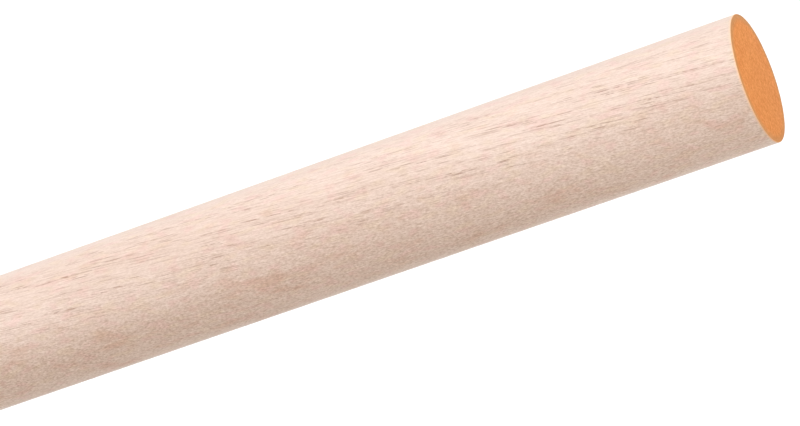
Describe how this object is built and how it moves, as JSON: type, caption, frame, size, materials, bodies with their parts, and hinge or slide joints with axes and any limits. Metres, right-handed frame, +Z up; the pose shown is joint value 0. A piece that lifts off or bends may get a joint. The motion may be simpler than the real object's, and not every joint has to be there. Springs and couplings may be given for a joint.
{
  "type": "dowel rod",
  "caption": "Long round hardwood dowel rod with square-cut, lightly eased ends, the end grain of one end painted orange.",
  "frame": {"origin": "middle of the rod's axis, halfway between its two end faces", "axes": "+X along the rod's axis towards the painted end, +Z up, +Y completes the right-handed frame"},
  "size_m": [0.9144, 0.0254, 0.0254],
  "materials": {
    "bare_wood": "matte",
    "orange_paint": "matte"
  },
  "bodies": {
    "root": {"rod": "bare_wood", "end_paint": "orange_paint"}
  },
  "joints": []
}
